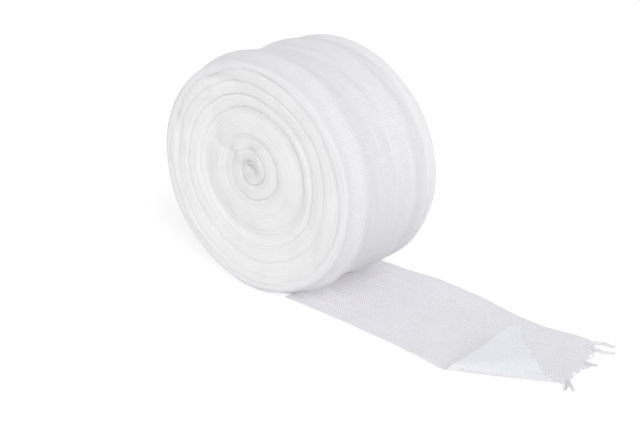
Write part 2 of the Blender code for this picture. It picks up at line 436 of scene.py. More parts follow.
@dataclass(frozen=True)
class PaperFinish:
    """The plain pale sweep that the roll rests on."""

    name: str = "pale_sweep"
    colour: Triple = (0.95, 0.95, 0.95)
    grain_size: float = 120.0
    grain: float = 0.015
    roughness: float = 0.9
    glow: float = 0.15

    def build(self) -> bpy.types.Material:
        """Makes the material.

        Returns:
            The finished material.
        """
        material, nodes, place = new_material(self.name)
        grain = nodes.noise(place, self.grain_size)
        nodes.surface(
            {
                "Base Color": (*self.colour, 1.0),
                "Roughness": self.roughness + (grain - 0.5) * self.grain,
                "Emission Color": (1.0, 1.0, 1.0, 1.0),
                "Emission Strength": self.glow,
            }
        )
        return material


def add_mesh(name: str, mesh: bpy.types.Mesh) -> bpy.types.Object:
    """Links a mesh into the scene as one object at the origin.

    Args:
        name: The object's name.
        mesh: Its mesh.

    Returns:
        The object.
    """
    piece = bpy.data.objects.new(name, mesh)
    bpy.context.scene.collection.objects.link(piece)
    return piece


def grid_faces(columns: int, rows: int) -> np.ndarray:
    """Gives the quads of a grid whose points run row by row within each column."""
    start = np.arange(columns - 1)[:, None] * rows + np.arange(rows - 1)[None, :]
    return np.stack([start, start + 1, start + rows + 1, start + rows], -1).reshape(-1, 4)


def outward_volume(mesh: bpy.types.Mesh) -> float:
    """Gives a closed mesh's volume, which is below zero where its faces point inwards.

    Args:
        mesh: The mesh.

    Returns:
        The signed volume, in cubic metres.
    """
    probe = bmesh.new()
    probe.from_mesh(mesh)
    volume = probe.calc_volume(signed=True)
    probe.free()
    return volume


def finish_piece(piece: bpy.types.Object, nodes: tuple[str, ...]) -> None:
    """Hangs a finished piece on the body.

    Args:
        piece: The piece, at the origin.
        nodes: The solids that it stands for.
    """
    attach(piece, BODY)
    if nodes:
        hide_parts(*nodes)
    piece.data.calc_loop_triangles()
    LOG.info("%s: %d triangles", piece.name, len(piece.data.loop_triangles))


@dataclass(frozen=True)
class WoundForm:
    """The wound body's form, which its surface, its outer turn and the loose end all follow."""

    half_length: float = 48.2
    half_height: float = 44.2
    core_rise: float = 3.5
    flat_depth: float = 1.15
    settle_height: float = 3.5
    rim_share: float = 0.93
    band_drift: float = 1.2
    band_start: float = 0.6
    barrel_half: float = 24.0
    # Angle before the full turn over which the creases go back to those at its start
    crease_blend: float = 1.0
    # Place along the axis, share of the full radius
    barrel: Table = (
        (-23.6, 0.962), (-22.6, 0.964), (-21.2, 0.963), (-18.8, 0.983), (-16.2, 1.011),
        (-13.4, 1.001), (-9.6, 0.985), (-4.0, 0.981), (2.4, 0.986), (6.0, 0.997),
        (9.0, 1.010), (12.0, 0.995), (15.0, 0.984), (17.8, 0.974), (19.2, 0.994),
        (20.4, 0.992), (21.8, 0.984), (23.2, 0.962),
    )

    def settled(self, height: np.ndarray) -> np.ndarray:
        """Presses the lowest few millimetres down to the small flat spot."""
        pressed = (height - self.flat_depth) * self.settle_height / (self.settle_height - self.flat_depth)
        return np.where(height < self.settle_height, np.maximum(pressed, 0.0), height)

    def point(self, share: np.ndarray, angle: np.ndarray, along: np.ndarray) -> np.ndarray:
        """Gives points of the roll.

        Args:
            share: Share of the full radius.
            angle: Angle round the axis, from +X towards +Z.
            along: Place along the axis.

        Returns:
            The points, in millimetres, with their coordinates last.
        """
        share, angle, along = np.broadcast_arrays(share, angle, along)
        middle = self.half_height + self.core_rise * np.clip(1.0 - share / self.rim_share, 0.0, 1.0)
        z = self.settled(middle + self.half_height * share * np.sin(angle))
        return np.stack([self.half_length * share * np.cos(angle), along, z], -1)

    def barrel_share(self, along: np.ndarray, angle: np.ndarray) -> np.ndarray:
        """Gives the barrel's share of the full radius, with its bands slightly askew.

        Args:
            along: Place along the axis.
            angle: Angle round the axis.

        Returns:
            The share at each place.
        """
        fade = 1.0 - (along / self.barrel_half) ** 2
        drift = self.band_drift * np.sin(angle + self.band_start) * fade
        return read_table(self.barrel, 1, along - drift)

    def creases(self, angle: np.ndarray, across: np.ndarray) -> np.ndarray:
        """Gives the barrel's creases as a share of the radius, the same at a full turn as at its start.

        Args:
            angle: Angle round the axis.
            across: Place across the cloth, or along the axis.

        Returns:
            What the creases add to the share at each place.
        """
        angle = np.mod(angle, TURN)
        blend = smooth_step((angle - (TURN - self.crease_blend)) / self.crease_blend)
        here = BARREL_CREASES.at(angle * self.half_length, across)
        past = BARREL_CREASES.at((angle - TURN) * self.half_length, across)
        return (here * (1.0 - blend) + past * blend) / self.half_length

    def barrel_point(self, along: np.ndarray, angle: np.ndarray, inset: float) -> np.ndarray:
        """Gives points of the barrel, set in from its outer surface by a depth in millimetres.

        Args:
            along: Place along the axis.
            angle: Angle round the axis.
            inset: The depth.

        Returns:
            The points, in millimetres, with their coordinates last.
        """
        share = self.barrel_share(along, angle) + self.creases(angle, along)
        point = self.point(share - inset / self.half_height, angle, along)
        point[..., 2] = np.maximum(point[..., 2], inset)
        return point


# Long soft creases that run round the barrel
BARREL_CREASES = Ripple(length=6.0, height=0.2, seed=11, stretch=4.0)


@dataclass(frozen=True)
class EndForm:
    """One wound end: its profile from core to rim, its thick turns and the fine turns in them."""

    side: float
    seed: int
    rows_per_turn: int
    # Share of the radius, distance out from the roll's middle plane, swell of a turn, depth between turns
    profile: Table
    # Place in X, place in Z, reach in X, reach in Z, depth
    dents: Table = ()
    # Places in X and Z along a fold that cuts across the wide layer
    fold: Table = ()
    fold_drop: float = 1.7
    fold_reach: tuple[float, float] = (3.6, 8.0)
    fold_fade: float = 7.0
    fold_rounding: float = 0.35
    start: float = 0.03
    pitch: float = 0.12
    fine_turns: int = 8
    core_share: float = 0.012
    rim_share: float = 0.93
    core_calm: float = 0.03
    groove_half_width: float = 0.065
    swell_power: float = 2.6
    swell_middle: float = 0.6
    # Radii that the places of dents and folds are given on
    half_x: float = 48.0
    half_z: float = 44.0
    # Strength of the grooves between thick turns, and how it changes along the spiral
    groove_strength: float = 0.34
    groove_change: tuple[float, float] = (0.12, 0.08)
    groove_rates: tuple[float, float] = (2.1, 5.3)
    groove_power: float = 1.5
    fine_depth: float = 0.022
    uneven: float = 0.042
    uneven_rates: tuple[float, ...] = (1.9, 2.7, 0.83, 3.6)
    rim_calm: float = 0.02
    # Share of a row's step within which a row joins the core or rim circle
    row_slack: float = 0.4

    def height(self, share: np.ndarray, angle: np.ndarray) -> np.ndarray:
        """Gives how far the end stands out at each place.

        Args:
            share: Share of the radius.
            angle: Angle round the axis.

        Returns:
            The distance out from the roll's middle plane, in millimetres.
        """
        turn = (share - self.start) / self.pitch - angle / TURN
        thick = turn - np.floor(turn)
        near = np.minimum(thick, 1.0 - thick)
        spiral = np.floor(turn + 0.5 + NUDGE) + angle / TURN
        strength = self.groove_strength
        for rate, change, start in zip(self.groove_rates, self.groove_change, (1.0, self.seed)):
            strength = strength + change * np.sin(spiral * rate + start)
        groove = np.exp(-((near / self.groove_half_width) ** self.groove_power)) * strength
        swell = 1.0 - (1.0 - 2.0 * near) ** self.swell_power - self.swell_middle
        fine = turn * self.fine_turns + NUDGE
        index = np.floor(fine)
        phase = fine - index
        along = index + self.fine_turns * angle / TURN
        rng = np.random.default_rng(self.seed)
        lift = np.zeros_like(along)
        for rate in self.uneven_rates:
            lift = lift + np.sin(along * rate + rng.uniform(0.0, TURN))
        ridge = -self.fine_depth * (1.0 - np.sin(math.pi * phase)) ** 2
        calm = smooth_step((self.rim_share - share) / self.rim_calm)
        calm = calm * smooth_step((share - self.core_share) / self.core_calm)
        x, z = self.half_x * share * np.cos(angle), self.half_z * share * np.sin(angle)
        out = read_table(self.profile, 1, share) + self.folded(x, z)
        out = out + BROAD_DENTS.at(x, z) + SMALL_DENTS.at(x, z)
        out = out + swell * strength * read_table(self.profile, 2, share)
        out = out - groove * read_table(self.profile, 3, share)
        for *spot, depth in self.dents:
            out = out - depth * spot_share(x, z, tuple(spot))
        return out + calm * (ridge + self.uneven * lift)

    def folded(self, x: np.ndarray, z: np.ndarray) -> np.ndarray:
        """Gives the valley of the fold that cuts across the wide layer, steeper on its left.

        Args:
            x: Places in X.
            z: Places in Z, from the middle of the turns.

        Returns:
            The height that the fold adds, zero or less.
        """
        if not self.fold:
            return np.zeros(np.shape(x))
        line = np.array(self.fold)
        nearest = np.full(x.shape, np.inf)
        side = np.ones(x.shape)
        for (x0, z0), (x1, z1) in zip(line[:-1], line[1:]):
            run_x, run_z = x1 - x0, z1 - z0
            part = np.clip(((x - x0) * run_x + (z - z0) * run_z) / (run_x**2 + run_z**2), 0.0, 1.0)
            away_x, away_z = x - x0 - part * run_x, z - z0 - part * run_z
            distance = np.hypot(away_x, away_z)
            closer = distance < nearest
            nearest = np.where(closer, distance, nearest)
            side = np.where(closer, np.sign(run_x * away_z - run_z * away_x), side)
        ends = [np.hypot(x - place[0], z - place[1]) for place in (line[0], line[-1])]
        fade = smooth_step(np.minimum(*ends) / self.fold_fade)
        reach = np.where(side < 0.0, *self.fold_reach)
        soft = np.hypot(nearest, self.fold_rounding) - self.fold_rounding
        return -self.fold_drop * fade * np.exp(-soft / reach)

    def column_shares(self, angle: float) -> np.ndarray:
        """Gives a column's rows: shares that follow the spiral, joined to the core and rim circles.

        Args:
            angle: The column's angle round the axis.

        Returns:
            The shares, from the core to the rim.
        """
        turns = math.ceil((self.rim_share - self.start) / self.pitch) + 1
        count = self.fine_turns * self.rows_per_turn
        steps = np.arange(-2 * count, turns * count) / count
        share = self.start + self.pitch * (steps + angle / TURN)
        slack = self.row_slack * self.pitch / count
        share = np.where(share < self.core_share + slack, self.core_share, share)
        return np.where(share > self.rim_share - slack, self.rim_share, share)


# Distance run round the near rim, share of the radius, place along the axis
NEAR_RIM: Table = (
    (0.0, 0.885, -24.25), (1.0, 0.906, -24.85), (1.9, 0.929, -24.75), (2.9, 0.951, -24.3),
    (3.9, 0.966, -23.3),
)
BROAD_DENTS = Ripple(length=34.0, height=0.35, seed=23, waves=5)
SMALL_DENTS = Ripple(length=9.0, height=0.12, seed=29, waves=6)
NEAR_END = EndForm(
    side=-1.0,
    seed=5,
    rows_per_turn=3,
    profile=(
        (0.00, 24.2, 0.0, 0.0), (0.05, 24.6, 0.3, 0.8), (0.09, 25.0, 0.6, 1.2),
        (0.165, 25.2, 1.0, 1.8), (0.225, 24.9, 1.1, 1.6), (0.275, 24.5, 0.9, 2.2),
        (0.32, 24.9, 0.4, 0.9), (0.38, 24.7, 0.0, 0.1), (0.44, 24.0, 0.0, 0.1),
        (0.49, 23.2, 0.2, 0.6), (0.525, 23.0, 0.9, 2.0), (0.58, 24.3, 1.3, 1.8),
        (0.645, 24.5, 1.3, 2.2), (0.70, 24.8, 0.9, 0.9), (0.765, 25.0, 0.7, 0.9),
        (0.84, 25.1, 0.4, 0.5), (0.885, 24.85, 0.1, 0.1), (0.90, 24.7, 0.0, 0.0),
    ),
    rim_share=0.9,
    dents=(
        (-37.8, 9.0, 2.3, 13.0, 1.3), (-9.0, 33.5, 14.0, 1.8, 0.8),
        (31.0, -16.0, 6.0, 9.0, 0.7), (-1.6, 0.9, 1.1, 0.6, 1.6),
        (0.4, 0.3, 1.1, 0.65, 2.2), (2.2, -0.9, 1.0, 0.55, 1.6),
    ),
    fold=(
        (-19.2, 28.0), (-20.2, 21.5), (-20.6, 16.2), (-20.6, 11.6), (-19.6, 9.0),
        (-17.1, 6.7), (-13.3, 5.2), (-9.5, 5.2), (-5.7, 6.3),
    ),
)
FAR_END = EndForm(
    side=1.0,
    seed=8,
    rows_per_turn=2,
    profile=(
        (0.00, 22.0, 0.0, 0.0), (0.06, 22.6, 0.4, 1.0), (0.12, 23.4, 0.8, 1.6),
        (0.22, 23.6, 0.9, 1.8), (0.36, 22.4, 0.8, 1.2), (0.52, 23.2, 0.9, 1.5),
        (0.72, 24.2, 0.9, 1.4), (0.84, 24.6, 0.5, 0.8), (0.93, 24.2, 0.0, 0.0),
    ),
    dents=((-18.0, 20.0, 12.0, 8.0, 0.8), (24.0, -14.0, 8.0, 14.0, 0.9), (0.0, 0.5, 1.6, 1.2, 5.0)),
)


@dataclass
class WoundBody:
    """The wound body: both spiral ends and the barrel as one closed surface."""

    form: WoundForm
    columns: int = 240
    barrel_rows: int = 46
    rim_rows: int = 7
    inset: float = 0.16
    # Gap between the rim's last row and the barrel's first, and how far its rows stay inside its run
    rim_gap: float = 0.7
    rim_trim: tuple[float, float] = (0.3, 0.4)
    # The roll's round and radius on the flat map
    map_round: float = 2.9
    map_radius: float = 0.44

    def end_column(self, end: EndForm, angle: float) -> tuple[np.ndarray, np.ndarray]:
        """Gives one column of an end face.

        Args:
            end: The end's form.
            angle: The column's angle round the axis.

        Returns:
            The column's points from the middle out, and their flat map places.
        """
        share = end.column_shares(angle)
        out = end.height(share, np.full_like(share, angle))
        middle = np.zeros(1)
        out = np.concatenate([end.height(middle, middle), out])
        share = np.concatenate([middle, share])
        points = self.form.point(share, np.full_like(share, angle), end.side * out)
        flat = np.stack([np.full_like(share, angle / TURN * self.map_round), share * self.map_radius], -1)
        return points, flat

    def barrel_column(self, angle: float) -> tuple[np.ndarray, np.ndarray]:
        """Gives one column of the barrel and its flat map places.

        Args:
            angle: The column's angle round the axis.

        Returns:
            The column's points from the near rim to the far one, and their flat map places.
        """
        first, last = NEAR_RIM[-1][2] + self.rim_gap, self.form.barrel[-1][0]
        along = np.linspace(first, last, self.barrel_rows)
        points = self.form.barrel_point(along, np.full_like(along, angle), self.inset)
        start, stop = NEAR_RIM[1][0] + self.rim_trim[0], NEAR_RIM[-1][0] - self.rim_trim[1]
        reach = np.linspace(start, stop, self.rim_rows)
        share = read_table(NEAR_RIM, 1, reach) - self.inset / self.form.half_height
        out = read_table(NEAR_RIM, 2, reach) + self.inset
        rim = self.form.point(share, np.full_like(reach, angle), out)
        rim[:, 2] = np.maximum(rim[:, 2], self.inset)
        points = np.concatenate([rim, points])
        along = np.concatenate([first - (reach[-1] - reach) - self.rim_gap, along])
        flat = np.stack([np.full_like(along, angle / TURN * self.map_round), along / MAP_UNIT + 1.0], -1)
        return points, flat

    def build(self) -> bpy.types.Object:
        """Builds the closed surface.

        Returns:
            The piece, with a flat map for its weave.
        """
        points, flats = [], []
        for step in range(self.columns + 1):
            angle = TURN * step / self.columns
            near, near_flat = self.end_column(NEAR_END, angle)
            barrel, barrel_flat = self.barrel_column(angle)
            far, far_flat = self.end_column(FAR_END, angle)
            points.append(np.concatenate([near, barrel, far[::-1]]))
            flats.append(np.concatenate([near_flat, barrel_flat, far_flat[::-1]]))
        rows = len(points[0])
        faces = grid_faces(self.columns + 1, rows)
        mesh = bpy.data.meshes.new("wound_body")
        mesh.from_pydata((np.concatenate(points) * MM).tolist(), [], faces.tolist())
        layer = mesh.uv_layers.new(name="flat")
        layer.data.foreach_set("uv", np.concatenate(flats)[faces.reshape(-1)].reshape(-1))
        shell = bmesh.new()
        shell.from_mesh(mesh)
        bmesh.ops.remove_doubles(shell, verts=shell.verts, dist=MERGE_DISTANCE)
        rims = [edge for edge in shell.edges if edge.is_boundary]
        bmesh.ops.holes_fill(shell, edges=rims, sides=4)
        bmesh.ops.recalc_face_normals(shell, faces=shell.faces)
        shell.to_mesh(mesh)
        shell.free()
        mesh.shade_smooth()
        return add_mesh("wound_body", mesh)

    def dress(self, piece: bpy.types.Object, material: bpy.types.Material) -> None:
        """Gives the piece its finish and hangs it on the body."""
        piece.data.materials.append(material)
        finish_piece(piece, ("wound_roll",))


@dataclass
class ThreadPlan:
    """Thread lines drawn flat before they are laid: points, edges, over or under, and thickness."""

    points: list[np.ndarray]
    edges: list[np.ndarray]
    levels: list[np.ndarray]
    sizes: list[np.ndarray]
    count: int = 0

    @classmethod
    def empty(cls) -> "ThreadPlan":
        """Starts a plan with no threads."""
        return cls([], [], [], [])

    def add(self, line: np.ndarray, level: np.ndarray, size: np.ndarray, closed: bool = False) -> None:
        """Adds one thread.

        Args:
            line: Its points, two or three coordinates each, in millimetres.
            level: Over (1) or under (-1) at each point.
            size: Its thickness at each point, as a share of the thread's.
            closed: Whether the thread joins its own start.
        """
        total = len(line)
        if total < 2:
            return
        if line.shape[1] == 2:
            line = np.concatenate([line, np.zeros((total, 1))], 1)
        index = np.arange(total - 1) + self.count
        edges = np.stack([index, index + 1], -1)
        if closed:
            edges = np.concatenate([edges, [[self.count + total - 1, self.count]]])
        self.points.append(line)
        self.edges.append(edges)
        self.levels.append(np.broadcast_to(level, total))
        self.sizes.append(np.broadcast_to(size, total))
        self.count += total

    def mesh(self, name: str) -> bpy.types.Mesh:
        """Turns the plan into a mesh of edges that carries each point's level and size.

        Args:
            name: The mesh's name.

        Returns:
            The mesh.
        """
        mesh = bpy.data.meshes.new(name)
        points = np.concatenate(self.points) * MM
        mesh.from_pydata(points.tolist(), np.concatenate(self.edges).tolist(), [])
        for key, values in (("level", self.levels), ("size", self.sizes)):
            layer = mesh.attributes.new(key, "FLOAT", "POINT")
            layer.data.foreach_set("value", np.concatenate(values).astype(np.float32))
        return mesh


@dataclass(frozen=True)
class ThreadTree:
    """Geometry Nodes that lay planned lines on a cloth surface and spin them to threads."""

    name: str
    manner: Lay
    sides: int

    INPUTS = (
        ("Cloth", "NodeSocketObject"),
        ("Half Width", "NodeSocketFloat"),
        ("Flatness", "NodeSocketFloat"),
        ("Weave Height", "NodeSocketFloat"),
        ("Wander", "NodeSocketFloat"),
        ("Wander Size", "NodeSocketFloat"),
        ("Map Size", "NodeSocketVector"),
        ("Seed", "NodeSocketFloat"),
        ("Finish", "NodeSocketMaterial"),
    )

    def build(self) -> bpy.types.NodeTree:
        """Builds the tree.

        Returns:
            The tree, with named inputs.
        """
        tree = bpy.data.node_groups.new(self.name, "GeometryNodeTree")
        tree.interface.new_socket("Geometry", in_out="INPUT", socket_type="NodeSocketGeometry")
        for name, kind in self.INPUTS:
            tree.interface.new_socket(name, in_out="INPUT", socket_type=kind)
        tree.interface.new_socket("Geometry", in_out="OUTPUT", socket_type="NodeSocketGeometry")
        nodes = Nodes(tree)
        given = nodes.add("NodeGroupInput")
        lines = nodes.read(given, "Geometry")
        up = None
        if self.manner is Lay.ON_CLOTH:
            lines, up = self.lay(nodes, given, lines)
        curve = nodes.get("GeometryNodeMeshToCurve", "Curve", None, {"Mesh": lines})
        if up is not None:
            turned = {"Curve": curve, "Normal": up}
            curve = nodes.get("GeometryNodeSetCurveNormal", "Curve", {"mode": "FREE"}, turned)
        circle = {"Resolution": self.sides, "Radius": 1.0}
        flat = {"X": nodes.read(given, "Flatness"), "Y": 1.0, "Z": 1.0}
        squeeze = {
            "Geometry": nodes.get("GeometryNodeCurvePrimitiveCircle", "Curve", None, circle),
            "Scale": nodes.get("ShaderNodeCombineXYZ", "Vector", None, flat),
        }
        spin = {
            "Curve": curve,
            "Profile Curve": nodes.get("GeometryNodeTransform", "Geometry", None, squeeze),
            "Scale": nodes.attribute("size", "FLOAT") * nodes.read(given, "Half Width"),
            "Fill Caps": True,
        }
        threads = nodes.get("GeometryNodeCurveToMesh", "Mesh", None, spin)
        whole = nodes.get("GeometryNodeRealizeInstances", "Geometry", None, {"Geometry": threads})
        dress = {"Geometry": whole, "Material": nodes.read(given, "Finish")}
        dressed = nodes.get("GeometryNodeSetMaterial", "Geometry", None, dress)
        nodes.add("NodeGroupOutput", None, {"Geometry": dressed})
        return tree

    def lay(self, nodes: Nodes, given: bpy.types.Node, lines: Shade) -> tuple[Shade, Shade]:
        """Moves flat lines onto the cloth, wandering a little, over and under each other.

        Args:
            nodes: The tree's node maker.
            given: The group's input node.
            lines: The flat lines.

        Returns:
            The laid lines, and the cloth's outward direction at each point.
        """
        cloth = {"Object": nodes.read(given, "Cloth")}
        surface = nodes.get("GeometryNodeObjectInfo", "Geometry", {"transform_space": "ORIGINAL"}, cloth)
        place = nodes.get("GeometryNodeInputPosition", "Position")
        field = {
            "Vector": place,
            "W": nodes.read(given, "Seed"),
            "Scale": nodes.read(given, "Wander Size"),
            "Detail": 2.0,
        }
        noise = nodes.get("ShaderNodeTexNoise", "Color", {"noise_dimensions": "4D"}, field)
        centred = nodes.vector("SUBTRACT", noise, (0.5, 0.5, 0.5))
        drift = nodes.vector("SCALE", centred, nodes.read(given, "Wander"))
        mapped = nodes.vector("DIVIDE", nodes.vector("ADD", place, drift), nodes.read(given, "Map Size"))
        found = []
        flat = nodes.attribute("flat", "FLOAT_VECTOR")
        for value in (place, nodes.attribute("out", "FLOAT_VECTOR")):
            sample = {"Mesh": surface, "Value": value, "Source UV Map": flat, "Sample UV": mapped}
            vectors = {"data_type": "FLOAT_VECTOR"}
            found.append(nodes.get("GeometryNodeSampleUVSurface", "Value", vectors, sample))
        spot, outward = found
        store = {"Geometry": lines, "Name": "up", "Value": outward}
        per_point = {"data_type": "FLOAT_VECTOR", "domain": "POINT"}
        stored = nodes.get("GeometryNodeStoreNamedAttribute", "Geometry", per_point, store)
        rise = nodes.attribute("level", "FLOAT") * nodes.read(given, "Weave Height")
        laid = nodes.vector("ADD", spot, nodes.vector("SCALE", outward, rise))
        move = {"Geometry": stored, "Position": laid}
        placed = nodes.get("GeometryNodeSetPosition", "Geometry", None, move)
        return placed, nodes.attribute("up", "FLOAT_VECTOR")


@dataclass(frozen=True)
class Yarn:
    """The yarn that a family of threads is spun from."""

    half_width: float = 0.22
    flatness: float = 0.5
    weave_height: float = 0.12
    wander: float = 0.25
    wander_size: float = 6.0
    seed: float = 1.0
    rounded: bool = False

    def spin(
        self,
        name: str,
        plan: ThreadPlan,
        material: bpy.types.Material,
        tree: bpy.types.NodeTree,
        cloth: bpy.types.Object | None = None,
        map_size: tuple[float, float] = (1.0, 1.0),
    ) -> bpy.types.Object:
        """Turns planned lines into one plain mesh of threads.

        Args:
            name: The piece's name.
            plan: The planned lines.
            material: The finish.
            tree: The Geometry Nodes tree.
            cloth: The surface that the threads are laid on.
            map_size: The flat size that the surface's map covers, in millimetres.

        Returns:
            The piece, with no modifier left on it.
        """
        draft = add_mesh(name + "_plan", plan.mesh(name + "_plan"))
        modifier = draft.modifiers.new("threads", "NODES")
        modifier.node_group = tree
        values = {
            "Cloth": cloth,
            "Half Width": self.half_width * MM,
            "Flatness": self.flatness,
            "Weave Height": self.weave_height * MM,
            "Wander": self.wander * MM,
            "Wander Size": 1.0 / (self.wander_size * MM),
            "Map Size": (map_size[0] * MM, map_size[1] * MM, 1.0),
            "Seed": self.seed,
            "Finish": material,
        }
        for item in tree.interface.items_tree:
            if item.in_out == "INPUT" and item.name in values:
                modifier[item.identifier] = values[item.name]
        graph = bpy.context.evaluated_depsgraph_get()
        graph.update()
        mesh = bpy.data.meshes.new_from_object(draft.evaluated_get(graph), depsgraph=graph)
        draft.modifiers.remove(modifier)
        bpy.data.objects.remove(draft)
        mesh.name = name
        for layer in list(mesh.attributes):
            if layer.name in ("level", "size", "up", "flat", "custom_normal"):
                mesh.attributes.remove(layer)
        if outward_volume(mesh) < 0.0:
            mesh.flip_normals()
        if self.rounded:
            mesh.shade_smooth()
        else:
            mesh.shade_flat()
        return add_mesh(name, mesh)


def surface_object(name: str, points: np.ndarray, flat: np.ndarray) -> bpy.types.Object:
    """Makes a helper surface that threads are laid on.

    Args:
        name: The helper's name.
        points: A grid of points in millimetres, with their coordinates last.
        flat: The flat map place of each point, from 0 to 1.

    Returns:
        A helper object with its flat map and outward direction, to be removed after use.
    """
    columns, rows = points.shape[:2]
    faces = grid_faces(columns, rows)
    run = np.gradient(points, axis=0)
    side = np.gradient(points, axis=1)
    out = np.cross(run, side)
    out = out / np.maximum(np.linalg.norm(out, axis=-1, keepdims=True), 1e-9)
    mesh = bpy.data.meshes.new(name)
    mesh.from_pydata((points.reshape(-1, 3) * MM).tolist(), [], faces.tolist())
    layer = mesh.uv_layers.new(name="flat")
    layer.data.foreach_set("uv", flat.reshape(-1, 2)[faces.reshape(-1)].reshape(-1))
    direction = mesh.attributes.new("out", "FLOAT_VECTOR", "POINT")
    direction.data.foreach_set("vector", out.reshape(-1))
    return add_mesh(name, mesh)


@dataclass(frozen=True)
class Weave:
    """Open plain weave: where its threads lie, across and along."""

    warp_pitch: float = 1.04
    weft_pitch: float = 1.08
    selvedge_pitch: float = 0.5
    selvedge_threads: int = 5
    hole_row: float = 1.7
    pair_pull: float = 0.27
    uneven: float = 0.12
    seed: int = 4
    # First thread's distance from the edge, and the distance between the two threads past the larger holes
    edge_margin: float = 0.25
    hole_pair: float = 0.62
    # Middle of the larger holes as a share of their row, and how far beside them the pull is felt
    hole_middle: float = 0.45
    hole_reach: float = 0.9

    def warps(self, width: float) -> np.ndarray:
        """Gives the places of the lengthwise threads across the cloth, close together at both edges.

        Args:
            width: The cloth's width.

        Returns:
            The places, from one edge to the other.
        """
        edge = self.edge_margin + np.arange(self.selvedge_threads) * self.selvedge_pitch
        first = edge[-1] + self.hole_row
        edge = np.concatenate([edge, [first, first + self.hole_pair]])
        room = width - 2.0 * edge[-1]
        count = round(room / self.warp_pitch)
        inner = edge[-1] + room * np.arange(1, count) / count
        rng = np.random.default_rng(self.seed)
        inner = inner + rng.normal(0.0, self.uneven * self.warp_pitch, len(inner))
        return np.concatenate([edge, inner, width - edge[::-1]])

    def wefts(self, start: float, end: float) -> np.ndarray:
        """Gives the places of the crosswise threads along the cloth, an even number of them.

        Args:
            start: Where the cloth starts.
            end: Where it ends.

        Returns:
            The places along the cloth.
        """
        count = 2 * round((end - start) / self.weft_pitch / 2.0)
        rng = np.random.default_rng(self.seed + 1)
        even = start + (end - start) * (np.arange(count) + 0.5) / count
        return even + rng.normal(0.0, self.uneven * self.weft_pitch, count)

    def pair_shift(self, side: float, across: np.ndarray, width: float) -> np.ndarray:
        """Gives how far crosswise threads draw together in pairs along the two rows of larger holes.

        Args:
            side: 1 for a thread that is drawn on along the cloth, -1 for one drawn back.
            across: Places across the cloth.
            width: The cloth's width.

        Returns:
            The shift at each place, in millimetres.
        """
        row = self.selvedge_threads * self.selvedge_pitch + self.hole_row * self.hole_middle
        near = np.exp(-(((across - row) / self.hole_reach) ** 2))
        far = np.exp(-(((width - across - row) / self.hole_reach) ** 2))
        return side * self.pair_pull * (near + far)


def with_middles(places: np.ndarray) -> tuple[np.ndarray, np.ndarray]:
    """Adds a place halfway between each two crossings.

    Args:
        places: The crossings.

    Returns:
        All the places, and for each 1 or -1 by turns at a crossing and 0 between crossings.
    """
    both = np.empty(len(places) * 2 - 1)
    both[0::2] = places
    both[1::2] = (places[1:] + places[:-1]) / 2.0
    level = np.zeros(len(both))
    level[0::2] = signs(len(places))
    return both, level


